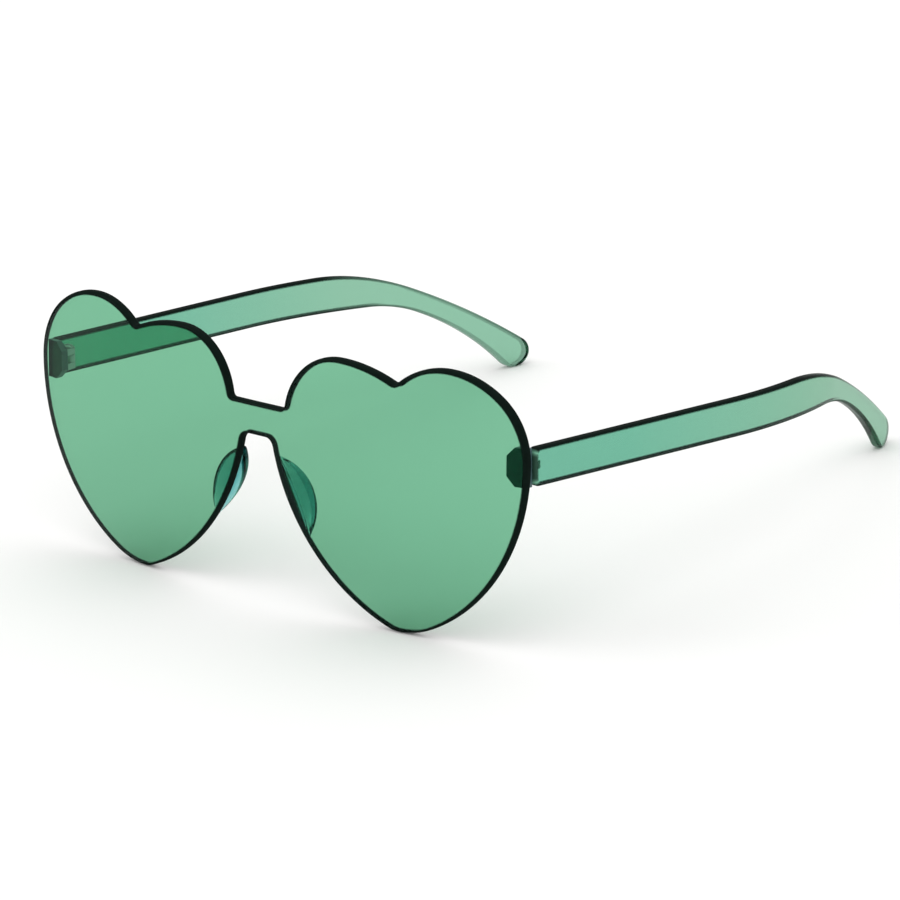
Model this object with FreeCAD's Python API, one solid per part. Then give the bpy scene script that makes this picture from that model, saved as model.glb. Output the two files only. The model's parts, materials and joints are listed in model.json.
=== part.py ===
"""Rimless heart shaped sunglasses, in millimetres.

The pair is drawn as it is worn: the front faces -Y, +X is the wearer's left, +Z is up, and z = 0 is
halfway up the hearts. At the end it is leaned until it rests on its two heart points and two temple tips.
"""
import FreeCAD, Part
import math
import os

Vec = FreeCAD.Vector
UP = Vec(0, 0, 1)
BACK = Vec(0, 1, 0)
OUT = Vec(1, 0, 0)

# The one-piece front: a spherical shell cut to two hearts and a bridge
LENS_RADIUS = 450.0
LENS_THICKNESS = 2.2
LENS_EDGE_BEVEL = 0.7
LENS_HALF_WIDTH = 72.4
SIDE_HEIGHT = 12.2          # height of the widest point
INNER_LOBE_X = 23.3
INNER_LOBE_TOP = 27.85
OUTER_LOBE_X = 52.2
OUTER_LOBE_TOP = 29.75
OUTER_LOBE_SHARE = 0.89     # upper arc of the outer lobe's shoulder over the lower one
CLEFT_X = 38.85
CLEFT_HEIGHT = 24.65
CLEFT_ROUND = 1.6
TIP_X = 38.3
TIP_DEPTH = 29.7            # heart point below mid-height
OUTER_FLANK_SHARE = 5.7     # the same for the outer flank, from the widest point down
NOSE_FLANK_SHARE = 0.05     # the same for the nose flank, from the point upwards
NOSE_FLANK_LEAN = 78.5      # degrees from level where the nose flank meets the bridge
BRIDGE_TOP = 14.4
BRIDGE_HALF_WIDTH = 8.0
BRIDGE_CORNER_ROUND = 0.9
ARCH_TOP = 7.15
ARCH_HALF_WIDTH = 4.25
ARCH_CORNER_ROUND = 2.2

# Nose pads: leaves bonded behind the nose flanks, domed where they touch the nose
PAD_INSET = 0.3             # from the nose edge to the pad
PAD_TOP = 3.55
PAD_BOTTOM = -13.25
PAD_WIDEST = -9.3           # height of the widest point
PAD_WIDTH = 3.85            # there, from the nose flank outwards
PAD_CROWN = -5.35           # height of the dome's rearmost point, beside the nose edge
PAD_DEPTH = 3.3             # behind the front, there
PAD_DOME_RADIUS = 16.55

# Thin lines of adhesive, and gaps between parts that move
BOND_LINE = 0.04
RUNNING_GAP = 0.1

# Hinges: three knuckles on an upright screw, inside the temples
HINGE_HEIGHT = 11.1         # middle of the hinge above mid-height
HINGE_INSET = 4.4           # from the widest point of the front to the hinge line
KNUCKLE_RADIUS = 1.55
MIDDLE_KNUCKLE = 1.6        # height
OUTER_KNUCKLE = 1.45        # height
LEAF_THICKNESS = 0.8
SCREW_RADIUS = 0.65
SCREW_FIT = 0.03
SCREW_HEAD_RADIUS = 1.15
SCREW_HEAD_HEIGHT = 0.6
SCREW_SLOT_WIDTH = 0.3
SCREW_SLOT_DEPTH = 0.3
SCREW_TAIL = 0.2            # beyond the bottom knuckle

# End blocks, bonded behind the outer edge
BLOCK_HALF_HEIGHT = 4.2
BLOCK_LIP = 0.1             # beside the hinge leaf, on the nose side
BLOCK_MARGIN = 1.1          # from the block's outer end to the widest point of the front
BLOCK_CHAMFER = 2.0
BLOCK_DEPTH = 1.7           # behind the front, at the hinge line

# Temples: side outline as (ahead of the tip, above the hinge's middle), then bent inwards in plan
TEMPLE_LENGTH = 136.7       # front end to tip
TEMPLE_THICKNESS = 2.8
TEMPLE_HALF_HEIGHT = 4.2    # at the front end
TEMPLE_EDGE_BEVEL = 0.8
BEND_TOP = (52.5, 1.95)
SHOULDER_TOP = (28.25, -3.6)
TIP_TOP = (0.0, -19.75)
TIP_LOW = (4.8, -25.35)
SHOULDER_LOW = (26.15, -9.95)
BEND_LOW = (38.95, -7.0)
TEMPLE_FLARE = 0.035        # outward slope of the straight part
WRAP_AHEAD = 74.8           # from the end of the straight part to the tip
WRAP_RADIUS = 112.0
WRAP_TURN = 21.3            # degrees that the rear part heads inwards
LEAF_LENGTH = 2.4           # temple hinge leaf, front to rounded end
LEAF_HALF_HEIGHT = 2.9

# Sizes that follow
SHELL_REAR = LENS_RADIUS - LENS_THICKNESS
HINGE_X = LENS_HALF_WIDTH - HINGE_INSET
BLOCK_INNER = HINGE_X - KNUCKLE_RADIUS - BLOCK_LIP
BLOCK_OUTER = LENS_HALF_WIDTH - BLOCK_MARGIN
STACK = 2 * OUTER_KNUCKLE + MIDDLE_KNUCKLE + 2 * RUNNING_GAP
REACH = 200.0               # longer than any piece, for cutting bodies
STRAIGHT = 1e-6             # an arc that turns less than this is a line


def shell_depth(radius, x, z):
    """Distance behind the foremost point of the front, on a sphere about the front's centre."""
    return LENS_RADIUS - math.sqrt(radius ** 2 - x ** 2 - z ** 2)


BLOCK_REAR = shell_depth(SHELL_REAR, HINGE_X, HINGE_HEIGHT) + BLOCK_DEPTH
HINGE_Y = BLOCK_REAR + KNUCKLE_RADIUS + RUNNING_GAP
TEMPLE_FRONT = BLOCK_REAR + RUNNING_GAP
TEMPLE_INNER = HINGE_X + KNUCKLE_RADIUS + RUNNING_GAP


def heading_after(start, heading, end):
    """Direction at the end of an arc that leaves start along heading: the heading mirrored in the chord."""
    chord = (end - start).normalize()
    return chord * (2 * heading.dot(chord)) - heading


def tangent_arc(start, heading, end):
    """Arc, or line, that leaves start along heading and finishes at end."""
    chord = end - start
    along = Vec(chord).normalize()
    bulge = heading - along * heading.dot(along)
    if bulge.Length < STRAIGHT:
        return Part.makeLine(start, end)
    turn = heading.getAngle(chord)
    middle = (start + end) * 0.5 + bulge.normalize() * (chord.Length / 2 * math.tan(turn / 2))
    return Part.Arc(start, middle, end).toShape()


def biarc(start, heading, end, leaving, share):
    """Two arcs tangent to each other, from start along heading to end along leaving.
    share is the length of the first arc's tangent over the second's."""
    gap = end - start
    square = 2 * share * (heading.dot(leaving) - 1)
    slope = -2 * gap.dot(heading * share + leaving)
    root = math.sqrt(slope ** 2 - 4 * square * gap.dot(gap))
    second = (-slope - root) / (2 * square)
    first = share * second
    meet = ((start + heading * first) * second + (end - leaving * second) * first) / (first + second)
    return [tangent_arc(start, heading, meet), tangent_arc(meet, heading_after(start, heading, meet), end)]


def mirrored(shape):
    """The wearer's right-hand copy of a left-hand shape."""
    return shape.mirror(Vec(0, 0, 0), OUT)


def prism(edges, direction):
    """Solid between a closed outline and its copy moved by direction."""
    return Part.Face(Part.Wire(Part.__sortEdges__(edges))).extrude(direction)


def loop(points):
    """Edges of a closed polygon."""
    return [Part.makeLine(a, b) for a, b in zip(points, points[1:] + points[:1])]


def nose_flank():
    """The front's edge beside the nose, from the heart point up to the bridge, as two arcs."""
    lean = math.radians(NOSE_FLANK_LEAN)
    upward = Vec(-math.cos(lean), 0, math.sin(lean))
    tip = Vec(TIP_X, 0, -TIP_DEPTH)
    return biarc(tip, -OUT, Vec(ARCH_HALF_WIDTH, 0, ARCH_TOP), upward, NOSE_FLANK_SHARE)


def half_heart():
    """The left-hand half of the front's outline, from the bridge's top corner round to the arch."""
    corner = Vec(BRIDGE_HALF_WIDTH, 0, BRIDGE_TOP)
    inner_top = Vec(INNER_LOBE_X, 0, INNER_LOBE_TOP)
    cleft = Vec(CLEFT_X, 0, CLEFT_HEIGHT)
    outer_top = Vec(OUTER_LOBE_X, 0, OUTER_LOBE_TOP)
    side = Vec(LENS_HALF_WIDTH, 0, SIDE_HEIGHT)
    tip = Vec(TIP_X, 0, -TIP_DEPTH)
    lobes = [tangent_arc(inner_top, -OUT, corner), tangent_arc(inner_top, OUT, cleft)]
    lobes += [tangent_arc(outer_top, -OUT, cleft)] + biarc(outer_top, OUT, side, -UP, OUTER_LOBE_SHARE)
    return lobes + biarc(side, -UP, tip, -OUT, OUTER_FLANK_SHARE) + nose_flank()


def edges_at(solid, x, z):
    """Edges of a prism along Y that stand on the point (x, z)."""
    def stands(vertex):
        return math.hypot(vertex.X - x, vertex.Z - z) < RUNNING_GAP
    return [edge for edge in solid.Edges if all(stands(vertex) for vertex in edge.Vertexes)]


def inside_sphere(radius):
    """Ball about the front's centre of curvature."""
    return Part.makeSphere(radius, Vec(0, LENS_RADIUS, 0))


def make_front():
    """Two hearts and a bridge, cut from the shell between two concentric spheres."""
    bridge = Part.makeLine(Vec(-BRIDGE_HALF_WIDTH, 0, BRIDGE_TOP), Vec(BRIDGE_HALF_WIDTH, 0, BRIDGE_TOP))
    arch = Part.makeLine(Vec(-ARCH_HALF_WIDTH, 0, ARCH_TOP), Vec(ARCH_HALF_WIDTH, 0, ARCH_TOP))
    half = half_heart()
    body = prism(half + [mirrored(edge) for edge in half] + [bridge, arch], BACK * REACH)
    rounds = [(CLEFT_X, CLEFT_HEIGHT, CLEFT_ROUND), (BRIDGE_HALF_WIDTH, BRIDGE_TOP, BRIDGE_CORNER_ROUND),
              (ARCH_HALF_WIDTH, ARCH_TOP, ARCH_CORNER_ROUND)]
    for x, z, radius in rounds:
        body = body.makeFillet(radius, edges_at(body, x, z) + edges_at(body, -x, z))
    front = body.common(inside_sphere(LENS_RADIUS)).cut(inside_sphere(SHELL_REAR))
    rim = [edge for face in front.Faces if isinstance(face.Surface, Part.Sphere) for edge in face.Edges]
    return front.makeChamfer(LENS_EDGE_BEVEL, rim)


def flank_point(height):
    """Point of the nose flank at that height, on its upper arc."""
    circle = nose_flank()[1].Curve
    across = math.sqrt(circle.Radius ** 2 - (height - circle.Center.z) ** 2)
    return Vec(circle.Center.x - across, 0, height)


def make_nose_pad():
    """Leaf along the nose flank, domed behind and trimmed to the back of the front."""
    top, side, low = (flank_point(height) for height in (PAD_TOP, PAD_WIDEST, PAD_BOTTOM))
    widest = side + OUT * PAD_WIDTH
    flank = Part.Arc(top, side, low).toShape()
    leaf = prism([flank, tangent_arc(widest, UP, top), tangent_arc(widest, -UP, low)], BACK * REACH)
    crown = flank_point(PAD_CROWN)
    rear = shell_depth(SHELL_REAR, crown.x, crown.z) + PAD_DEPTH
    dome = Part.makeSphere(PAD_DOME_RADIUS, crown + BACK * (rear - PAD_DOME_RADIUS))
    return leaf.translated(OUT * PAD_INSET).common(dome).common(inside_sphere(SHELL_REAR - BOND_LINE))


def knuckle(bottom, height, towards):
    """Knuckle on the hinge line with a square web towards its leaf."""
    base = Vec(HINGE_X, HINGE_Y, bottom)
    across = UP.cross(towards)
    reach = towards * (KNUCKLE_RADIUS + RUNNING_GAP)
    corners = [base - across * KNUCKLE_RADIUS, base + across * KNUCKLE_RADIUS]
    corners += [corners[1] + reach, corners[0] + reach]
    web = prism(loop(corners), UP * height)
    return Part.makeCylinder(KNUCKLE_RADIUS, height, base, UP).fuse(web)


def screw_bore(clearance):
    """Cylinder along the hinge line, for boring the knuckles."""
    base = Vec(HINGE_X, HINGE_Y, HINGE_HEIGHT - REACH / 2)
    return Part.makeCylinder(SCREW_RADIUS + clearance, REACH, base, UP)


def front_leaf_plate():
    """Plate of the front hinge leaf, flush with the back of the end block."""
    low = HINGE_HEIGHT - STACK / 2
    corner = Vec(HINGE_X - KNUCKLE_RADIUS, BLOCK_REAR - LEAF_THICKNESS, low)
    return Part.makeBox(2 * KNUCKLE_RADIUS, LEAF_THICKNESS, STACK, corner)


def make_end_block():
    """Chamfered block, hollowed to the back of the front, with a pocket for the hinge leaf."""
    low, high = HINGE_HEIGHT - BLOCK_HALF_HEIGHT, HINGE_HEIGHT + BLOCK_HALF_HEIGHT
    cut = BLOCK_INNER + BLOCK_CHAMFER
    outline = [Vec(BLOCK_INNER, 0, low + BLOCK_CHAMFER), Vec(cut, 0, low), Vec(BLOCK_OUTER, 0, low),
               Vec(BLOCK_OUTER, 0, high), Vec(cut, 0, high), Vec(BLOCK_INNER, 0, high - BLOCK_CHAMFER)]
    block = prism(loop(outline), BACK * BLOCK_REAR).common(inside_sphere(SHELL_REAR - BOND_LINE))
    return block.cut(front_leaf_plate())


def make_front_leaf():
    """Plate with a knuckle at the top and one at the bottom."""
    low = HINGE_HEIGHT - STACK / 2
    leaf = front_leaf_plate()
    for bottom in (low, low + STACK - OUTER_KNUCKLE):
        leaf = leaf.fuse(knuckle(bottom, OUTER_KNUCKLE, -BACK))
    return leaf.cut(screw_bore(SCREW_FIT)).removeSplitter()


def temple_leaf_plate():
    """Plate of the temple hinge leaf: straight in front, rounded behind."""
    middle = Vec(TEMPLE_INNER, TEMPLE_FRONT, HINGE_HEIGHT)
    top, low = middle + UP * LEAF_HALF_HEIGHT, middle - UP * LEAF_HALF_HEIGHT
    end = Part.Arc(low, middle + BACK * LEAF_LENGTH, top).toShape()
    return prism([Part.makeLine(top, low), end], OUT * LEAF_THICKNESS)


def make_temple_leaf():
    """Rounded plate with the middle knuckle."""
    middle = knuckle(HINGE_HEIGHT - MIDDLE_KNUCKLE / 2, MIDDLE_KNUCKLE, OUT)
    return temple_leaf_plate().fuse(middle).cut(screw_bore(SCREW_FIT)).removeSplitter()


def make_screw():
    """Screw from the top knuckle down, with a slotted head."""
    top = HINGE_HEIGHT + STACK / 2
    length = STACK + SCREW_TAIL
    shank = Part.makeCylinder(SCREW_RADIUS, length, Vec(HINGE_X, HINGE_Y, top - length), UP)
    head = Part.makeCylinder(SCREW_HEAD_RADIUS, SCREW_HEAD_HEIGHT, Vec(HINGE_X, HINGE_Y, top), UP)
    rim = [edge for edge in head.Edges if edge.BoundBox.ZMin > top]
    head = head.makeChamfer(SCREW_HEAD_HEIGHT / 2, rim)
    floor = top + SCREW_HEAD_HEIGHT - SCREW_SLOT_DEPTH
    corner = Vec(HINGE_X - SCREW_HEAD_RADIUS, HINGE_Y - SCREW_SLOT_WIDTH / 2, floor)
    slot = Part.makeBox(2 * SCREW_HEAD_RADIUS, SCREW_SLOT_WIDTH, SCREW_SLOT_DEPTH, corner)
    return shank.fuse(head).cut(slot).removeSplitter()


def smooth_chain(points):
    """A line between the first two points, then arcs through the rest, each tangent to the one before."""
    edges = [Part.makeLine(points[0], points[1])]
    heading = (points[1] - points[0]).normalize()
    for start, end in zip(points[1:], points[2:]):
        edges.append(tangent_arc(start, heading, end))
        heading = heading_after(start, heading, end)
    return edges


def temple_edge(*stations):
    """One long edge of the temple's side outline, through stations given from the tip."""
    tip = TEMPLE_FRONT + TEMPLE_LENGTH
    return smooth_chain([Vec(0, tip - ahead, HINGE_HEIGHT + above) for ahead, above in stations])


def temple_side():
    """Side outline of a temple: top edge, bottom edge with the rounded tip, front end."""
    top = temple_edge((TEMPLE_LENGTH, TEMPLE_HALF_HEIGHT), BEND_TOP, SHOULDER_TOP, TIP_TOP)
    bottom = temple_edge((TEMPLE_LENGTH, -TEMPLE_HALF_HEIGHT), BEND_LOW, SHOULDER_LOW, TIP_LOW, TIP_TOP)
    front = Part.makeLine(top[0].firstVertex().Point, bottom[0].firstVertex().Point)
    return top, bottom, [front]


def temple_plan():
    """Plan outline of a temple: a strip that flares a little, curves inwards and runs straight to its end."""
    along = Vec(TEMPLE_FLARE, 1, 0).normalize()
    side = along.cross(UP)
    sweep = math.radians(WRAP_TURN)
    start = Vec(TEMPLE_INNER, TEMPLE_FRONT, 0)
    turn = start + along * (TEMPLE_LENGTH - WRAP_AHEAD)
    centre = turn - side * WRAP_RADIUS
    inward = along * math.cos(sweep) - side * math.sin(sweep)

    def swung(offset, angle):
        return centre + (side * math.cos(angle) + along * math.sin(angle)) * (WRAP_RADIUS + offset)
    edges, ends = [], []
    for offset in (0, TEMPLE_THICKNESS):
        bend = [swung(offset, 0), swung(offset, sweep / 2), swung(offset, sweep)]
        ends.append(bend[2] + inward * WRAP_AHEAD)
        edges += [Part.makeLine(start + side * offset, bend[0]), Part.Arc(*bend).toShape()]
        edges.append(Part.makeLine(bend[2], ends[-1]))
    edges.append(Part.makeLine(start, start + side * TEMPLE_THICKNESS))
    return edges + [Part.makeLine(*ends)]


def make_temple():
    """The side outline and the plan outline, carried through each other."""
    side = prism(sum(temple_side(), []), OUT * REACH)
    plan = prism(temple_plan(), UP * REACH).translated(UP * (-REACH / 2))
    temple = side.common(plan)
    long_edges = [edge for edge in temple.Edges if edge.BoundBox.YMax > TEMPLE_FRONT + RUNNING_GAP]
    temple = temple.makeChamfer(TEMPLE_EDGE_BEVEL, long_edges)
    return temple.cut(temple_leaf_plate())


def resting_lean():
    """Angle, in radians, that brings the temple tips down to the level of the heart points."""
    cap = temple_side()[1][-1].Curve
    heart_y = shell_depth(SHELL_REAR, TIP_X, TIP_DEPTH)
    behind, above = cap.Center.y - heart_y, cap.Center.z + TIP_DEPTH
    return math.acos(cap.Radius / math.hypot(behind, above)) - math.atan2(behind, above)


pair = {"nose_pad": make_nose_pad(), "end_block": make_end_block(), "front_hinge_leaf": make_front_leaf(),
        "temple_hinge_leaf": make_temple_leaf(), "hinge_screw": make_screw(), "temple": make_temple()}
nodes = {"lens_front": make_front()}
for name, shape in pair.items():
    nodes[name + "_left"] = shape
    nodes[name + "_right"] = mirrored(shape)

lean = -math.degrees(resting_lean())
leaned = {name: shape.rotated(Vec(0, 0, 0), OUT, lean) for name, shape in nodes.items()}
box = Part.makeCompound(list(leaned.values())).optimalBoundingBox()
shift = Vec(0, -(box.YMin + box.YMax) / 2, -box.ZMin)

os.makedirs("parts", exist_ok=True)
for name, shape in leaned.items():
    placed = shape.translated(shift)
    placed.exportStep("parts/" + name + ".step")
    print(name, len(placed.Solids), placed.isValid(), round(placed.Volume, 2))

turned = FreeCAD.Rotation(OUT, lean)
print("lean", round(lean, 4), "box", box.XLength, box.YLength, box.ZLength, "shift", shift)
print("hinge", turned.multVec(Vec(HINGE_X, HINGE_Y, HINGE_HEIGHT)) + shift, "axis", turned.multVec(UP))
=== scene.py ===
# %% [markdown]
# # Heart shaped sunglasses in see-through green
#
# The pair is a rimless one: a single sheet of tinted polycarbonate is cut to two hearts and a bridge, two temples of
# the same plastic fold on small screw hinges, and clear leaves bonded behind the nose edges sit on the nose. The whole
# look is light that passes through tinted plastic, so every large piece here is a closed body with a real thickness,
# coloured by a light tint on its faces and by what the body absorbs. This lesson dresses the fixed frame piece by
# piece.

# %% Load the frame
import json

import bmesh
import bpy
import numpy as np
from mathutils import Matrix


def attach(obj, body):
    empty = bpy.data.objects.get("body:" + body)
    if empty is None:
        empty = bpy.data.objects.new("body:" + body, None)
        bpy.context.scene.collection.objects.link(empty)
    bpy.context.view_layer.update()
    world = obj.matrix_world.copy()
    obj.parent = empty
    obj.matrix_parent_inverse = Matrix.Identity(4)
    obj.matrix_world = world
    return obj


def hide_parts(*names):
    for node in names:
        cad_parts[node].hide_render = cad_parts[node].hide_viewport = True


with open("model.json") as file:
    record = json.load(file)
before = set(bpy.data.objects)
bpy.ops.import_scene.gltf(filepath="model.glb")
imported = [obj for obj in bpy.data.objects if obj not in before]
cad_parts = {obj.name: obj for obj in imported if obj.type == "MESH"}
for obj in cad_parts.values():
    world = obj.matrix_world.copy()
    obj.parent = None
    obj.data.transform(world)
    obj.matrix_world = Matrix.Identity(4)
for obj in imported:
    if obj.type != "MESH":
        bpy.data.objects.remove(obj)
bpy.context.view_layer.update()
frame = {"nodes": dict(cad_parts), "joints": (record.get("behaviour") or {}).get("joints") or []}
MM = 0.001                                                  # metres
print("nodes:", sorted(frame["nodes"]))

# %% [markdown]
# ## The frame of the worn pair
#
# Open sunglasses lie on a table on their heart points and temple tips, so they lean a little. The shapes are far
# easier to write as they are worn: x to the wearer's left, y backwards from the front, z up from the middle of the
# hearts. The hinge joint of the frame gives the lean, because its axis is the worn pair's upright. It also ties the two
# frames together. The front is a shell between two spheres, and the hinge line lies behind it by the end block, a
# running gap and the knuckle.

# %% Worn coordinates to the frame's own
SHELL_RADIUS, SHELL_THICKNESS = 450.0, 2.2                  # millimetres, like all sizes of the pair
BLOCK_DEPTH, KNUCKLE_RADIUS, RUNNING_GAP = 1.7, 1.55, 0.1
HINGE_HEIGHT = 11.1
SIDEWAYS = np.array([1.0, 0.0, 0.0])
hinge = next(joint for joint in frame["joints"] if joint["name"] == "left_temple_fold")
hinge_at, upright = np.array(hinge["pos_m"]), np.array(hinge["axis"])
rearward = np.cross(upright, SIDEWAYS)
between_hinges = hinge_at * (1 - SIDEWAYS)


def shell_y(x, z, depth):
    """y of the shell at (x, z), that far inside its outer sphere: y = R - sqrt((R - depth)^2 - x^2 - z^2)."""
    return SHELL_RADIUS - np.sqrt((SHELL_RADIUS - depth) ** 2 - x ** 2 - z ** 2)


hinge_x = hinge_at[0] / MM
temple_front = shell_y(hinge_x, HINGE_HEIGHT, SHELL_THICKNESS) + BLOCK_DEPTH + RUNNING_GAP
hinge_y = temple_front + KNUCKLE_RADIUS


def worn(x, y, z):
    """Worn millimetres to metres of the frame: x sideways from the middle, y along the rearward axis and z along the
    upright, the last two counted from the hinges."""
    x, y, z = np.broadcast_arrays(x, y, z)
    place = x[..., None] * SIDEWAYS + (y[..., None] - hinge_y) * rearward + (z[..., None] - HINGE_HEIGHT) * upright
    return MM * place + between_hinges


print("upright", upright, "hinge", hinge_at, "worn y of the hinge", round(hinge_y, 4))

# %% [markdown]
# ## Camera
#
# The photograph looks at the pair from its left front and from above, through a long lens. The place, the turn and
# the focal length come from matching both hearts and both temples, so the camera needs no shift.

# %% Camera
CAMERA_AT = (0.83734, -0.87790, 0.44618)                    # metres
CAMERA_TURN = (70.2346, 4.5570, 42.4106)                    # degrees about x, y and z
CAMERA_FOCAL = 229.965                                      # millimetres
NEAR, FAR = 0.01, 50.0                                      # metres between which it sees
camera = bpy.data.objects.new("camera", bpy.data.cameras.new("camera"))
camera.location = CAMERA_AT
camera.rotation_euler = np.radians(CAMERA_TURN)
camera.data.lens = CAMERA_FOCAL
camera.data.clip_start, camera.data.clip_end = NEAR, FAR
bpy.context.scene.collection.objects.link(camera)
bpy.context.scene.camera = camera
print("camera at", CAMERA_AT)

# %% [markdown]
# ## Shader expressions
#
# A material is a small calculation over the surface. Wrapping a socket in a class lets it be written as one: `+`,
# `-` and `*` add Math nodes, `mix`, `noise`, `bump` and `weight` add the nodes that come up most, and `node` adds any
# other, with its settings first and its sockets after.

# %% One class for shader maths
NUMBERED = "input_"


class Wire:
    """A node's output socket that can be used in Python expressions."""

    def __init__(self, tree, socket):
        self.tree, self.socket = tree, socket

    def node(self, kind, settings=None, output=0, **sockets):
        """Any other node. A socket is named by its label, or by input_ and its number."""
        made = self.tree.nodes.new(kind)
        for key, value in (settings or {}).items():
            setattr(made, key, value)
        for key, value in sockets.items():
            label = int(key[len(NUMBERED):]) if key.startswith(NUMBERED) else key.replace("_", " ")
            plug(value, made.inputs[label])
        return Wire(self.tree, made.outputs[output])

    def math(self, operation, other, flip=False):
        """A Math node of this wire and another wire or number, in turned order with flip."""
        first, second = (other, self) if flip else (self, other)
        return self.node("ShaderNodeMath", {"operation": operation}, input_0=first, input_1=second)

    def __add__(self, other):
        return self.math("ADD", other)

    def __radd__(self, other):
        return self.math("ADD", other, flip=True)

    def __sub__(self, other):
        return self.math("SUBTRACT", other)

    def __rsub__(self, other):
        return self.math("SUBTRACT", other, flip=True)

    def __mul__(self, other):
        return self.math("MULTIPLY", other)

    def __rmul__(self, other):
        return self.math("MULTIPLY", other, flip=True)

    def mix(self, low, high):
        """Colour between low and high, by this value as the factor."""
        return self.node("ShaderNodeMix", {"data_type": "RGBA"}, output=2, input_0=self, input_6=low, input_7=high)

    def noise(self, scale, detail):
        """Cloudy noise over these coordinates, with about scale lumps to the metre."""
        return self.node("ShaderNodeTexNoise", Vector=self, Scale=scale, Detail=detail)

    def bump(self, strength, height):
        """Normals of a surface that this value raises by up to height, in metres."""
        return self.node("ShaderNodeBump", Height=self, Strength=strength, Distance=height)

    def weight(self, name):
        """The number that each point of the mesh carries under that name."""
        return self.node("ShaderNodeAttribute", {"attribute_name": name}, output="Fac")


def plug(value, socket):
    """Links a wire to an input socket, or sets a plain value on it."""
    if isinstance(value, Wire):
        value.tree.links.new(value.socket, socket)
    else:
        socket.default_value = value


def new_material(name):
    """A material, its Principled shader and a Wire with the object's own coordinates."""
    material = bpy.data.materials.new(name)
    material.use_nodes = True
    tree = material.node_tree
    coordinates = tree.nodes.new("ShaderNodeTexCoord").outputs["Object"]
    return material, tree.nodes["Principled BSDF"], Wire(tree, coordinates)


def feed(shader, **sockets):
    """Plugs wires and plain values into the sockets of a shader, named by their labels."""
    for key, value in sockets.items():
        plug(value, shader.inputs[key.replace("_", " ")])


print("shader helpers ready")

# %% [markdown]
# ## Tinted clear plastic
#
# Polycarbonate of this tint passes about half of the green light through one lens and much less of the red. A tint
# painted on the surface would look the same at every thickness. Absorption inside the body does what the real sheet
# does: one layer is pale and two layers are deep. The cut edges look almost black, because light that runs along the
# sheet is lost in them; here that darkness is painted shade, a rough, nearly black opaque skin on the rim. A point
# attribute named edge, 0 on the faces and 1 on the rim, blends from the clear body to that painted dark skin. A second
# one, frosted, is 1 on the temples' sawn front ends, which scatter light and are as pale as the faces, except where the
# painted dark skin stands in for the hinge leaf behind them.
#
# Two choices serve the look. Polycarbonate's index is about 1.585, but faces that bend light so much also mirror the
# bright surroundings, which turns the dark rims grey, so the index here is lower. And the temples' skin is painted
# paler and greyer from the hinge to the tip, a painted sheen for the light that their curved rear parts mirror, so
# their shade follows y instead of a cloudy drift.

# %% See-through plastic
# painted shade: the nearly black colours of the rims' skin, standing in for the light lost in the cut edges
PAINTED_RIM_SHADE_DARK, PAINTED_RIM_SHADE_LIGHT = (0.0015, 0.004, 0.003, 1), (0.004, 0.011, 0.008, 1)
RIM_ROUGHNESS, RIM_COAT, RIM_COAT_ROUGHNESS = 0.9, 0.06, 0.15
FROST = (0.19, 0.46, 0.32, 1)                               # sawn ends
MIRROR_TINT = (0.1, 0.45, 0.35, 1)                          # of what a face mirrors, seen straight on
POLISH, SMEAR_ROUGHNESS = 0.012, 0.02                       # roughness of a clean face, and what smears add
CLOUDS, SMEARS, RIPPLES, TUMBLING = (60.0, 2.0), (420.0, 4.0), (35.0, 1.0), (700.0, 3.0)     # noise scale and detail
RIPPLE_BUMP, TUMBLING_BUMP = (0.02, 0.0004), (0.12, 0.0001)                                  # strength and height
CLOUD_SHARE = 0.1                                           # of the clouds that stay in a sloping shade


def clear_plastic(name, skin, haze, through, density, index, slope=0.0, start=0.0):
    """Polished see-through plastic. skin and haze are the close shades that its faces drift between, through is the
    colour that the body lets pass, density is how much it absorbs per metre and index is how much it bends light.
    With a slope, skin turns to haze from front to rear instead, as a painted sheen: the share of haze is slope (y -
    start)."""
    material, shader, place = new_material(name)
    drift = place.noise(*CLOUDS)
    if slope:
        y = place.node("ShaderNodeSeparateXYZ", Vector=place, output=1)
        drift = (y - start) * slope + drift * CLOUD_SHARE
    feed(shader, Base_Color=drift.mix(skin, haze), Roughness=POLISH + place.noise(*SMEARS) * SMEAR_ROUGHNESS,
         IOR=index, Transmission_Weight=1.0, Specular_Tint=MIRROR_TINT,
         Normal=place.noise(*RIPPLES).bump(*RIPPLE_BUMP))
    tumbled = place.noise(*TUMBLING)
    # the rims' opaque skin: painted dark shade, or the pale frost colour on the sawn ends
    painted_rim_shade_and_frost = place.weight("frosted").mix(tumbled.mix(PAINTED_RIM_SHADE_DARK, PAINTED_RIM_SHADE_LIGHT), FROST)
    cut = place.node("ShaderNodeBsdfPrincipled", Base_Color=painted_rim_shade_and_frost, Roughness=RIM_ROUGHNESS,
                     Specular_IOR_Level=0.0, Coat_Weight=RIM_COAT, Coat_Roughness=RIM_COAT_ROUGHNESS,
                     Normal=tumbled.bump(*TUMBLING_BUMP))
    clear = Wire(place.tree, shader.outputs[0])
    output = place.tree.nodes["Material Output"]
    # edge weight 1 swaps the clear body for the painted dark rim shade
    plug(place.node("ShaderNodeMixShader", Fac=place.weight("edge"), input_1=clear, input_2=cut),
         output.inputs["Surface"])
    plug(place.node("ShaderNodeVolumeAbsorption", Color=through, Density=density), output.inputs["Volume"])
    return material


lens_plastic = clear_plastic("tinted_lens", skin=(0.46, 0.78, 0.62, 1), haze=(0.45, 0.77, 0.61, 1),
                             through=(0.34, 0.65, 0.48, 1), density=500.0, index=1.30)
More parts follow.
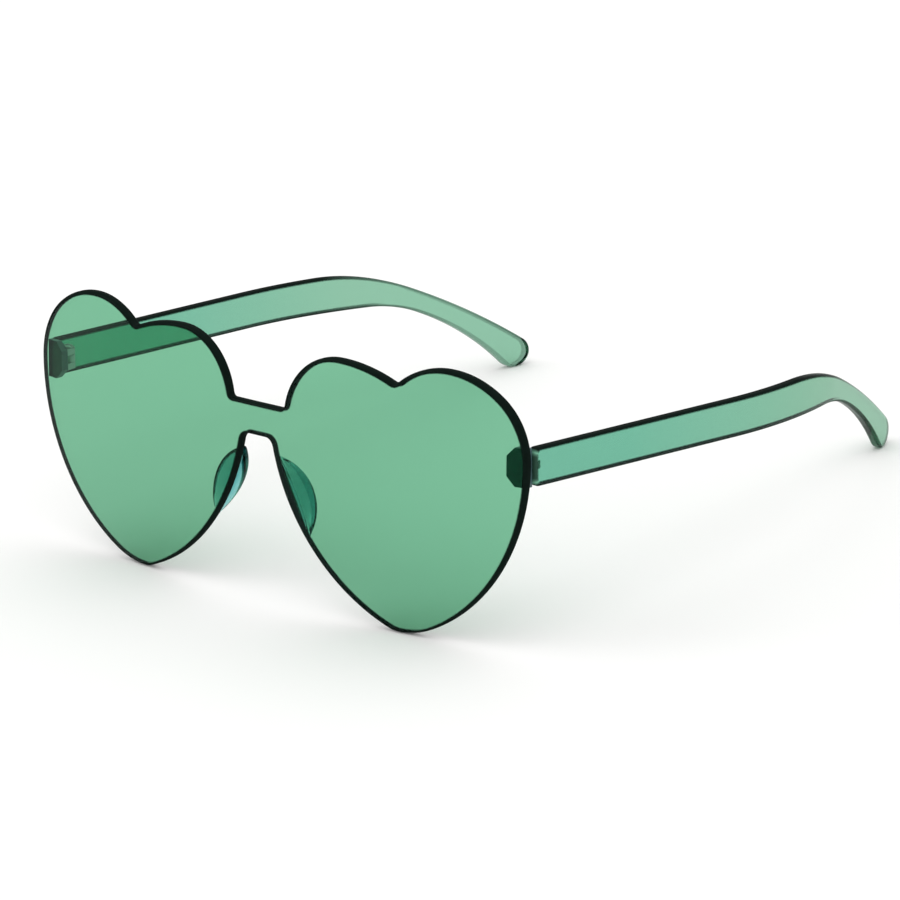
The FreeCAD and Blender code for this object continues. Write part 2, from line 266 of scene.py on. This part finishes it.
# the slope paints a sheen: paler, greyer skin from the hinge towards the tip
temple_plastic = clear_plastic("tinted_temple", skin=(0.36, 0.72, 0.62, 1), haze=(0.54, 0.76, 0.65, 1),
                               through=(0.40, 0.67, 0.53, 1), density=400.0, index=1.35, slope=16.0, start=-0.03)
pad_plastic = clear_plastic("clear_pad", skin=(0.51, 0.75, 0.73, 1), haze=(0.49, 0.74, 0.72, 1),
                            through=(0.26, 0.70, 0.70, 1), density=500.0, index=1.35)
print("plastics:", lens_plastic.name, temple_plastic.name, pad_plastic.name)

# %% [markdown]
# ## Hinge metal and end blocks
#
# The hinge leaves are stamped from plated sheet and the screws are turned, so both are grey metal with fine lines
# along the rolling direction. The end blocks are smoky, nearly opaque plastic with a satin skin and a little blue-green
# of their own. All of them are seen mostly through green plastic, which makes them darker and greener.

# %% Metal and smoky plastic
METAL_POLISH, LINE_ROUGHNESS = 0.28, 0.2                    # roughness of the metal, and what its lines add
LINES, LINE_BUMP = (900.0, 3.0), (0.15, 0.00005)
SATIN, GRAIN_ROUGHNESS = 0.25, 0.2                          # the same for the block's skin and its grain
SMOKE, GRAIN, GRAIN_BUMP = (300.0, 2.0), (2500.0, 3.0), (0.1, 0.00003)
BLOCK_INDEX = 1.5


def rolled_metal(name, dark, light, along):
    """Plated metal with fine lines: noise stretched by the scale factors in along."""
    material, shader, place = new_material(name)
    lines = place.node("ShaderNodeMapping", Vector=place, Scale=along).noise(*LINES)
    feed(shader, Base_Color=lines.mix(dark, light), Metallic=1.0, Roughness=METAL_POLISH + lines * LINE_ROUGHNESS,
         Normal=lines.bump(*LINE_BUMP))
    return material


def smoky_plastic(name, dark, light):
    """Satin plastic: fine grain on the skin and a slow drift in the smoke."""
    material, shader, place = new_material(name)
    grain = place.noise(*GRAIN)
    feed(shader, Base_Color=place.noise(*SMOKE).mix(dark, light), Roughness=SATIN + grain * GRAIN_ROUGHNESS,
         IOR=BLOCK_INDEX, Normal=grain.bump(*GRAIN_BUMP))
    return material


leaf_metal = rolled_metal("hinge_steel", dark=(0.36, 0.365, 0.365, 1), light=(0.50, 0.505, 0.50, 1),
                          along=(1.0, 1.0, 0.05))
screw_metal = rolled_metal("screw_steel", dark=(0.42, 0.42, 0.41, 1), light=(0.56, 0.56, 0.55, 1),
                           along=(1.0, 1.0, 0.2))
block_plastic = smoky_plastic("smoky_block", dark=(0.036, 0.078, 0.086, 1), light=(0.058, 0.116, 0.126, 1))
print("hinge finishes:", leaf_metal.name, screw_metal.name, block_plastic.name)

# %% [markdown]
# ## Stage
#
# A pale floor, a large soft light overhead, a smaller one from the left and bright white surroundings, as in a light
# tent. The floor and the surroundings are what shows through the plastic, so they are the light in the green. The even
# light from all sides leaves only a faint shadow.

# %% Floor and light
FLOOR_REACH = 4.0                                           # metres
FLOOR_DARK, FLOOR_LIGHT = (0.90, 0.90, 0.89, 1), (0.92, 0.92, 0.91, 1)
FLOOR_ROUGHNESS, FLOOR_SHEEN, MOTTLE = 0.9, 0.1, (8.0, 2.0)
AIM = np.array([0.0, 0.0, 0.02])                            # metres, the middle of the pair
WHITE, SURROUNDINGS = (1.0, 1.0, 1.0, 1.0), 0.97
corners = FLOOR_REACH * np.array([(-1, -1, 0), (1, -1, 0), (1, 1, 0), (-1, 1, 0)])
floor_mesh = bpy.data.meshes.new("floor")
floor_mesh.from_pydata(corners.tolist(), [], [(0, 1, 2, 3)])
floor = bpy.data.objects.new("floor", floor_mesh)
bpy.context.scene.collection.objects.link(floor)
floor_paint, floor_shader, floor_place = new_material("floor_paint")
feed(floor_shader, Base_Color=floor_place.noise(*MOTTLE).mix(FLOOR_DARK, FLOOR_LIGHT), Roughness=FLOOR_ROUGHNESS,
     Specular_IOR_Level=FLOOR_SHEEN)
floor_mesh.materials.append(floor_paint)


def soft_light(name, at, size, power):
    """A square soft box at a point, turned towards the pair. size is in metres and power in watts."""
    light = bpy.data.lights.new(name, "AREA")
    light.size, light.energy = size, power
    lamp = bpy.data.objects.new(name, light)
    lamp.location = at
    away = np.array(at) - AIM
    flat = np.hypot(away[0], away[1])
    lamp.rotation_euler = (np.arctan2(flat, away[2]), 0.0, np.arctan2(away[1], away[0]) + np.pi / 2)
    bpy.context.scene.collection.objects.link(lamp)


soft_light("overhead_box", at=(0.0, 0.2, 2.4), size=4.0, power=18.0)
soft_light("left_box", at=(-1.6, -1.2, 1.3), size=1.0, power=5.0)
world = bpy.data.worlds.new("surroundings")
world.use_nodes = True
feed(world.node_tree.nodes["Background"], Color=WHITE, Strength=SURROUNDINGS)
bpy.context.scene.world = world
bpy.context.scene.view_settings.view_transform = "Standard"
print("stage: floor and two soft boxes")

# %% [markdown]
# ## Arcs that follow each other
#
# Heart, leaf and temple outlines are chains of circle arcs. An arc is fixed by where it starts, which way it leaves
# and where it ends. The next arc leaves the way that one arrived, so an outline needs only a few points.

# %% Outline helpers
STRAIGHT = 1e-9                                             # radians: an arc that turns less is a line
LEFT, RIGHT, DOWN, UP = np.array([-1.0, 0]), np.array([1.0, 0]), np.array([0, -1.0]), np.array([0, 1.0])


def arrive(start, heading, end):
    """Direction at the end of an arc: the first heading mirrored in the chord."""
    chord = (end - start) / np.linalg.norm(end - start)
    return 2 * (heading @ chord) * chord - heading


def arc(start, heading, end, step):
    """Points along the arc, without its end. With the chord's angle h off the heading, the point at share t lies at
    the chord's start plus sin(t h) / sin(h) times the chord, turned by (t - 1) h."""
    chord = end - start
    off = np.arctan2(heading[0] * chord[1] - heading[1] * chord[0], heading @ chord)
    bent = abs(off) > STRAIGHT
    length = np.linalg.norm(chord) * (off / np.sin(off) if bent else 1.0)
    share = np.linspace(0, 1, max(2, int(np.ceil(length / step))), endpoint=False)
    scale = np.sin(share * off) / np.sin(off) if bent else share
    turn = (share - 1) * off
    return start + scale[:, None] * np.stack([np.cos(turn) * chord[0] - np.sin(turn) * chord[1],
                                              np.sin(turn) * chord[0] + np.cos(turn) * chord[1]], 1)


def chain(start, heading, stops, step):
    """Arcs from start through all the stops, each leaving as the last one arrived. Returns points and last heading."""
    parts = []
    for stop in stops:
        parts.append(arc(start, heading, stop, step))
        start, heading = stop, arrive(start, heading, stop)
    return np.concatenate(parts), heading


def biarc_knot(start, heading, end, leaving, share):
    """Where two arcs meet that join start to end with both directions given. share is the first arc's tangent length
    over the second's, and the lengths follow from the two tangents being as long as the line between their ends. That
    is a quadratic equation for the second length."""
    gap = end - start
    squared, linear = 2 * share * (heading @ leaving - 1), -2 * gap @ (share * heading + leaving)
    second = (-linear - np.sqrt(linear * linear - 4 * squared * gap @ gap)) / (2 * squared)
    first = share * second
    return ((start + first * heading) * second + (end - second * leaving) * first) / (first + second)


def circle_of(start, heading, end):
    """Centre and radius of the arc's circle: the centre lies on the normal at the start."""
    normal = np.array([-heading[1], heading[0]])
    chord = end - start
    reach = chord @ chord / (2 * chord @ normal)
    return start + reach * normal, abs(reach)


def outward(loop):
    """Unit normals of an outline that runs clockwise in (x, z), from central differences along it."""
    along = np.gradient(loop, axis=0)
    along /= np.linalg.norm(along, axis=1)[:, None]
    return np.stack([-along[:, 1], along[:, 0]], 1)


print("outline helpers ready")

# %% [markdown]
# ## Sheets into closed bodies
#
# A body is made of sheets: a rim, which carries a rounded profile along the outline, and caps, which run from the rim
# in to a spine. Each sheet is a grid of points worked out as one array. The sheets share their border points, so
# merging them closes the body.

# %% Body helpers
WELD = 2e-7                                                 # metres
ROUND_STEPS = 9                                             # points along each quarter of a rounded edge
FLAT_ROWS = (0.3, 0.05)                                     # further in than the round, to keep the faces flat
# the blend from the clear face to the painted dark rim shade
RIM_BLEND = 0.15                                            # from the clear face to the dark rim


def lattice(rows, columns, first):
    """Quads of a grid of points numbered row by row from first."""
    index = first + np.arange(rows * columns).reshape(rows, columns)
    return np.stack([index[:-1, :-1], index[1:, :-1], index[1:, 1:], index[:-1, 1:]], -1).reshape(-1, 4)


def body(name, sheets, material, on, node):
    """One closed, smooth piece from its sheets, each a grid of points with its edge and frosted weights. It rides on
    a body of the frame and stands for a node."""
    counts = np.cumsum([0] + [points.shape[0] * points.shape[1] for points, *_ in sheets])
    places = np.concatenate([points.reshape(-1, 3) for points, *_ in sheets])
    faces = np.concatenate([lattice(*points.shape[:2], first) for (points, *_), first in zip(sheets, counts)])
    mesh = bpy.data.meshes.new(name)
    mesh.from_pydata(places.tolist(), [], faces.tolist())
    for column, weight in ((1, "edge"), (2, "frosted")):
        values = np.concatenate([np.broadcast_to(sheet[column], sheet[0].shape[:2]).ravel() for sheet in sheets])
        mesh.attributes.new(weight, "FLOAT", "POINT").data.foreach_set("value", values)
    form = bmesh.new()
    form.from_mesh(mesh)
    bmesh.ops.remove_doubles(form, verts=form.verts, dist=WELD)
    bmesh.ops.recalc_face_normals(form, faces=form.faces)
    if form.calc_volume(signed=True) < 0:
        bmesh.ops.reverse_faces(form, faces=form.faces)
    open_edges = sum(not edge.is_manifold for edge in form.edges)
    volume = form.calc_volume(signed=True) / MM ** 3
    form.to_mesh(mesh)
    form.free()
    mesh.polygons.foreach_set("use_smooth", np.ones(len(mesh.polygons), bool))
    mesh.materials.append(material)
    piece = bpy.data.objects.new(name, mesh)
    bpy.context.scene.collection.objects.link(piece)
    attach(piece, on)
    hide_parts(node)
    print(name, len(mesh.polygons), "faces, open edges", open_edges, "volume", round(volume, 1), "mm3")


def rounded_edge(thickness, radius, dark):
    """Profile from one face round the rim to the other: inset from the outline, depth from the first face, and edge
    weight, the share of painted dark rim shade, which falls from 1 to 0 over the blend that starts at the inset dark.
    dark is one number, or one for each point of the outline."""
    turn = np.linspace(0, np.pi / 2, ROUND_STEPS)
    flat = [radius + row for row in FLAT_ROWS]
    inset = np.concatenate([flat, radius * (1 - np.sin(turn)), radius * (1 - np.cos(turn)), flat[::-1]])
    depth = np.concatenate([[0, 0], radius * (1 - np.cos(turn)), thickness - radius * (1 - np.sin(turn)),
                            [thickness, thickness]])
    return inset[:, None, None], depth[:, None], np.clip(1 - (inset[:, None] - dark) / RIM_BLEND, 0, 1)


def cap(loop, spine, rings):
    """Flat grid from the spine out to the loop: spine + share (loop - spine)."""
    share = np.linspace(0, 1, rings)[:, None, None]
    return spine + share * (loop - spine)


print("body helpers ready")

# %% [markdown]
# ## The one-piece front
#
# Seen from the front it is two hearts and a bridge. Seen from above it is a shallow shell, because the sheet is
# moulded on a sphere, so the depth of any point follows from its place. The corners at the clefts, at the bridge and
# at the nose arch are rounded by circles that touch both neighbours. Each long side of a heart is two arcs, and a
# share says how long the first one's tangent is against the second's.

# %% Half of the front's outline
STEP = 0.5                                                  # between outline points
CLEFT_ROUND, BRIDGE_ROUND, ARCH_ROUND = 1.6, 0.9, 2.2
LOBE_SHARE, FLANK_SHARE, NOSE_SHARE = 0.89, 5.7, 0.05
NOSE_LEAN = np.radians(78.5)                                # of the nose edge, from level, where it meets the arch
ABOVE, BELOW = 1, -1
inner_top, outer_top = np.array([23.3, 27.85]), np.array([52.2, 29.75])
cleft, side, tip = np.array([38.85, 24.65]), np.array([72.4, 12.2]), np.array([38.3, -29.7])
bridge_corner, arch_corner = np.array([8.0, 14.4]), np.array([4.25, 7.15])
bridge_middle, arch_middle = bridge_corner * UP, arch_corner * UP


def touching(center, radius, level, fillet, where):
    """Fillet between a circle and a level line: its own centre is one fillet radius above or below the line and
    touches the circle from outside, on its left. Returns the points where it meets the circle and the line."""
    height = level + where * fillet
    middle = np.array([center[0] - np.sqrt((radius + fillet) ** 2 - (height - center[1]) ** 2), height])
    return center + (middle - center) * radius / (radius + fillet), np.array([middle[0], level])


def notch(first, first_radius, second, second_radius, fillet):
    """Fillet above the notch between two circles: its centre is where the two circles, grown by the fillet radius,
    cross. Returns the points where it meets them."""
    gap = second - first
    apart = np.linalg.norm(gap)
    one, two = first_radius + fillet, second_radius + fillet
    along = (apart ** 2 + one ** 2 - two ** 2) / (2 * apart)
    rise = np.sqrt(one ** 2 - along ** 2) * np.array([-gap[1], gap[0]]) / apart
    middle = first + along * gap / apart + rise
    return first + (middle - first) * first_radius / one, second + (middle - second) * second_radius / two


inner_circle = circle_of(inner_top, LEFT, bridge_corner)
cleft_inner, cleft_outer = circle_of(inner_top, RIGHT, cleft), circle_of(outer_top, LEFT, cleft)
nose_heading = np.array([-np.cos(NOSE_LEAN), np.sin(NOSE_LEAN)])
nose_knot = biarc_knot(tip, LEFT, arch_corner, nose_heading, NOSE_SHARE)
nose_circle = circle_of(nose_knot, arrive(tip, LEFT, nose_knot), arch_corner)
lobe_foot, bridge_foot = touching(*inner_circle, bridge_corner[1], BRIDGE_ROUND, ABOVE)
nose_head, arch_end = touching(*nose_circle, arch_corner[1], ARCH_ROUND, BELOW)
cleft_left, cleft_right = notch(*cleft_inner, *cleft_outer, CLEFT_ROUND)
lobe_knot = biarc_knot(outer_top, RIGHT, side, DOWN, LOBE_SHARE)
flank_knot = biarc_knot(side, DOWN, tip, LEFT, FLANK_SHARE)
stops = [bridge_foot, lobe_foot, inner_top, cleft_left, cleft_right, outer_top, lobe_knot, side, flank_knot, tip,
         nose_knot, nose_head, arch_end, arch_middle]
half_front, last_heading = chain(bridge_middle, RIGHT, stops, STEP)
half_front = np.vstack([half_front, arch_middle])
print("outline points", len(half_front), "arrives along", last_heading.round(4))

# %% [markdown]
# The half is filled from a point inside the heart that sees all of its outline, and the cut through the bridge closes
# the half. The other half is the same array with x turned over. The painted dark rim shade reaches further onto the
# faces at the lobes than at the points.

# %% The front's body
EDGE_ROUND = 0.8
# painted shade: how far the dark rim skin reaches onto the faces, by height
RIM_HEIGHTS, PAINTED_SHADE_WIDTHS = [0.0, 12.0, 24.0], [0.55, 0.65, 0.95]
HEART_MIDDLE = np.array([37.0, 10.8])
RINGS, SEAM_POINTS = 18, 9
MIRRORS = (("left", 1.0), ("right", -1.0))                  # the wearer's sides and the sign of x there


def on_shell(flat, depth):
    """Point of the shell at flat (x, z), that far inside the outer sphere."""
    x, z = flat[..., 0], flat[..., 1]
    return worn(x, shell_y(x, z, depth), z)


normals = outward(half_front)
normals[[0, -1]] = UP, DOWN
painted_shade_widths = np.interp(half_front[:, 1], RIM_HEIGHTS, PAINTED_SHADE_WIDTHS)
inset, depth, edge = rounded_edge(SHELL_THICKNESS, EDGE_ROUND, painted_shade_widths)
rim = half_front - inset * normals
seam = np.linspace(rim[0, -1], rim[0, 0], SEAM_POINTS)
heart = cap(np.vstack([rim[0], seam[1:]]), HEART_MIDDLE, RINGS)
sheets = []
for _, mirror in MIRRORS:
    turned = np.array([mirror, 1.0])
    sheets += [(on_shell(rim * turned, depth), edge, 0.0), (on_shell(heart * turned, 0.0), 0.0, 0.0),
               (on_shell(heart * turned, SHELL_THICKNESS), 0.0, 0.0)]
body("heart_front", sheets, lens_plastic, "front", "lens_front")

# %% [markdown]
# ## Temples
#
# Each temple is a flat strip of the same plastic: straight from the hinge, bent down behind the ear to a rounded tip,
# and curved inwards along its rear half. Its side outline is one closed loop of arcs. The caps run in to a spine
# halfway between the top edge and the bottom edge, so both edges get the same number of points.

# %% Temple outline
TEMPLE_LENGTH, TEMPLE_HALF_HEIGHT, TEMPLE_CORNER = 136.7, 4.2, 1.4
FINE_STEP = 0.1                                             # before the long edges are spaced evenly
STATIONS, FRONT_STATION, REAR_STATION = 280, 9, 271         # along an edge, and where the spine starts and ends
bend_top, shoulder_top, tip_top = np.array([84.2, 1.95]), np.array([108.45, -3.6]), np.array([TEMPLE_LENGTH, -19.75])
bend_low, shoulder_low, tip_low = np.array([97.75, -7.0]), np.array([110.55, -9.95]), np.array([131.9, -25.35])
end_top, end_low = TEMPLE_HALF_HEIGHT * UP, TEMPLE_HALF_HEIGHT * DOWN


def resampled(line, count):
    """The same line with count points, evenly spaced along it."""
    along = np.concatenate([[0], np.cumsum(np.linalg.norm(np.diff(line, axis=0), axis=1))])
    at = np.linspace(0, along[-1], count)
    return np.stack([np.interp(at, along, line[:, 0]), np.interp(at, along, line[:, 1])], 1)


def temple_edge(corner, stops):
    """One long edge: it leaves the front corner's round straight, then follows arcs through the stops. Returns its
    points and its first and last directions."""
    heading = (stops[0] - corner) / np.linalg.norm(stops[0] - corner)
    points, arriving = chain(corner + TEMPLE_CORNER * heading, heading, stops, FINE_STEP)
    return resampled(np.vstack([points, stops[-1]]), STATIONS), heading, arriving


top_edge, _, _ = temple_edge(end_top, [bend_top, shoulder_top, tip_top])
low_edge, low_start, low_end = temple_edge(end_low, [bend_low, shoulder_low, tip_low])
round_tip = arc(tip_low, low_end, tip_top, STEP)[:0:-1]
front_end, _ = chain(low_edge[0], -low_start, [end_low + TEMPLE_CORNER * UP, end_top + TEMPLE_CORNER * DOWN,
                                               top_edge[0]], STEP)
temple_loop = np.vstack([top_edge, round_tip, low_edge[::-1], front_end[1:], top_edge[:1]])
station = np.arange(STATIONS).clip(FRONT_STATION, REAR_STATION)
station = np.concatenate([station, np.full(len(round_tip), REAR_STATION), station[::-1],
                          np.full(len(front_end), FRONT_STATION)])
temple_spine = (top_edge + low_edge)[station] / 2
print("temple outline", len(temple_loop), "points, spine", len(temple_spine))

# %% [markdown]
# In plan the strip is a straight line, an arc inwards and a straight line again, with the thickness measured square to
# them. A point's sideways place follows from how far back it is and how deep it lies in the strip.

# %% Temple plan
TEMPLE_THICKNESS = 2.8
FLARE, WRAP_AHEAD, WRAP_RADIUS, WRAP_TURN = 0.035, 74.8, 112.0, np.radians(21.3)
temple_inner = hinge_x + KNUCKLE_RADIUS + RUNNING_GAP
strip_along = np.array([FLARE, 1.0]) / np.hypot(FLARE, 1)
strip_square = np.array([strip_along[1], -strip_along[0]])
wrap_start = np.array([temple_inner, temple_front]) + (TEMPLE_LENGTH - WRAP_AHEAD) * strip_along
wrap_centre = wrap_start - WRAP_RADIUS * strip_square
inward = np.cos(WRAP_TURN) * strip_along - np.sin(WRAP_TURN) * strip_square
wrap_end = np.cos(WRAP_TURN) * strip_square + np.sin(WRAP_TURN) * strip_along


def across(y, depth):
    """x on the layer that lies depth outside the inner face: a line of slope FLARE, then a circle of the wrap radius
    plus depth, then the line that leaves that circle after the wrap's turn."""
    ring = WRAP_RADIUS + depth
    first = temple_inner + FLARE * (y - temple_front) + depth / strip_along[1]
    curve = wrap_centre[0] + np.sqrt(np.maximum(ring ** 2 - (y - wrap_centre[1]) ** 2, 0))
    last = wrap_centre[0] + ring * wrap_end[0] + (y - wrap_centre[1] - ring * wrap_end[1]) * inward[0] / inward[1]
    before, after = y < wrap_centre[1] + ring * strip_square[1], y > wrap_centre[1] + ring * wrap_end[1]
    return np.where(before, first, np.where(after, last, curve))


def on_temple(flat, depth):
    """Point of the strip at flat (behind the front end, above the hinge), that deep from the inner face."""
    y = temple_front + flat[..., 0]
    return across(y, depth), y, HINGE_HEIGHT + flat[..., 1]


print("the wrap starts", wrap_start.round(2), "and turns about", wrap_centre.round(2))

# %% [markdown]
# The temples' painted dark rim shade is narrower than the front's and fades towards the tip. The frosted weight is on
# the front end only: low in the middle, so that the painted dark rim shade stands in for the hinge leaf behind, and
# nothing at the corners, where the painted dark lines of the long edges run to the end.

# %% Temple bodies
# TEMPLE_RIM is how far the painted dark rim shade reaches onto the temples' faces
TEMPLE_ROUND, TEMPLE_RIM, TEMPLE_RINGS = 0.9, 0.5, 6
LEAF_PROUD = 0.03                                           # hinge leaf over the temple's inner face
RIM_SHADE_FADE_BEHIND, RIM_SHADE_FADE_WEIGHTS = [85.0, 120.0], [1.0, 0.4]
SAWN_BEHIND, SAWN_WEIGHTS = [0.5, 1.6], [1.0, 0.0]
# frosted weight by height: low in the middle, which leaves painted dark rim shade for the hinge leaf behind
LEAF_HEIGHTS, LEAF_WEIGHTS = [2.7, 3.0, 3.3, 3.8], [0.15, 1.0, 1.0, 0.0]


def closed_normals(loop):
    """Outward normals of a loop whose last point repeats its first."""
    return outward(np.vstack([loop[-2], loop, loop[1]]))[1:-1]


inset, depth, edge = rounded_edge(TEMPLE_THICKNESS - LEAF_PROUD, TEMPLE_ROUND, TEMPLE_RIM)
temple_rim = temple_loop - inset * closed_normals(temple_loop)
temple_cap = cap(temple_rim[0], temple_spine, TEMPLE_RINGS)
behind, height = temple_loop[:, 0], np.abs(temple_loop[:, 1])
rim_shade_fade = np.interp(behind, RIM_SHADE_FADE_BEHIND, RIM_SHADE_FADE_WEIGHTS)
sawn = np.interp(behind, SAWN_BEHIND, SAWN_WEIGHTS) * np.interp(height, LEAF_HEIGHTS, LEAF_WEIGHTS)
layers = ((temple_rim, LEAF_PROUD + depth, edge * rim_shade_fade, sawn), (temple_cap, LEAF_PROUD, 0.0, 0.0),
          (temple_cap, TEMPLE_THICKNESS, 0.0, 0.0))
for name, mirror in MIRRORS:
    sheets = []
    for flat, deep, *weights in layers:
        x, y, z = on_temple(flat, deep)
        sheets.append((worn(mirror * x, y, z), *weights))
    body("ear_piece_" + name, sheets, temple_plastic, name + "_temple", "temple_" + name)

# %% [markdown]
# ## Nose pads
#
# A pad is a leaf of clear plastic behind the nose edge: it follows the front where it is bonded, is domed where it
# touches the nose, and is deepest beside the nose edge. One grid makes it. Its columns go round the leaf and its rows
# go from the middle of the dome, over a rounded edge and back to the middle of the bonded face.

# %% Pad outline
PAD_INSET, PAD_TOP, PAD_WIDEST, PAD_BOTTOM, PAD_WIDTH = 0.3, 3.55, -9.3, -13.25, 3.85
PAD_STEP = 0.25


def flank_point(height):
    """Point of the nose flank at that height, on its upper circle."""
    center, radius = nose_circle
    return np.array([center[0] - np.sqrt(radius ** 2 - (height - center[1]) ** 2), height])


pad_top, pad_side, pad_low = (flank_point(height) for height in (PAD_TOP, PAD_WIDEST, PAD_BOTTOM))
pad_widest = pad_side + PAD_WIDTH * RIGHT
outer_side, _ = chain(pad_top, -arrive(pad_widest, UP, pad_top), [pad_widest, pad_low], PAD_STEP)
low_spoke = (pad_low - nose_circle[0]) / nose_circle[1]
nose_side = arc(pad_low, np.array([low_spoke[1], -low_spoke[0]]), pad_top, PAD_STEP)
leaf = np.vstack([outer_side, nose_side, pad_top]) + PAD_INSET * RIGHT
leaf_middle = (leaf.min(axis=0) + leaf.max(axis=0)) / 2
print("pad outline", len(leaf), "points about", leaf_middle.round(2))

# %% [markdown]
# Each row is the outline shrunk to a share of its size. The dome drops away over the edge's round, and the rows after
# it lie on the bonded face, because no point may lie in front of that face.

# %% Pad bodies
PAD_CROWN, PAD_DEPTH, PAD_DOME, BOND_LINE = -5.35, 3.3, 16.55, 0.04
PAD_EDGE = 0.6                                              # drop of the rounded edge
DOME_ROWS, EDGE_ROWS, BACK_ROWS = 10, 6, 6
DOME_SHARE, EDGE_SHARE, EDGE_REACH, BACK_SHARE = 0.84, 0.9, 0.1, 0.97
turn = np.linspace(0, np.pi / 2, EDGE_ROWS)
share = np.concatenate([np.linspace(0, DOME_SHARE, DOME_ROWS), EDGE_SHARE + EDGE_REACH * np.sin(turn), [1.0],
                        np.linspace(BACK_SHARE, 0, BACK_ROWS)])
drop = np.concatenate([np.zeros(DOME_ROWS), PAD_EDGE * (1 - np.cos(turn)), np.full(1 + BACK_ROWS, np.inf)])
pad_flat = leaf_middle + share[:, None, None] * (leaf - leaf_middle)
pad_x, pad_z = pad_flat[..., 0], pad_flat[..., 1]
crown = flank_point(PAD_CROWN)
dome_middle = shell_y(*crown, SHELL_THICKNESS) + PAD_DEPTH - PAD_DOME
dome = dome_middle + np.sqrt(PAD_DOME ** 2 - (pad_x - crown[0]) ** 2 - (pad_z - crown[1]) ** 2)
pad_y = np.maximum(dome - drop[:, None], shell_y(pad_x, pad_z, SHELL_THICKNESS + BOND_LINE))
for name, mirror in MIRRORS:
    body("nose_leaf_" + name, [(worn(mirror * pad_x, pad_y, pad_z), 0.0, 0.0)], pad_plastic, "front",
         "nose_pad_" + name)

# %% [markdown]
# ## Hinges and end blocks
#
# The blocks, leaves and screws are plain machined shapes whose frame solids are already right, so they only get their
# finishes.

# %% Finishes on the frame's own pieces
finishes = {"end_block": block_plastic, "front_hinge_leaf": leaf_metal, "temple_hinge_leaf": leaf_metal,
            "hinge_screw": screw_metal}
for piece, finish in finishes.items():
    for name, _ in MIRRORS:
        mesh = frame["nodes"][piece + "_" + name].data
        mesh.materials.clear()
        mesh.materials.append(finish)
print("finished", len(finishes) * len(MIRRORS), "frame pieces")
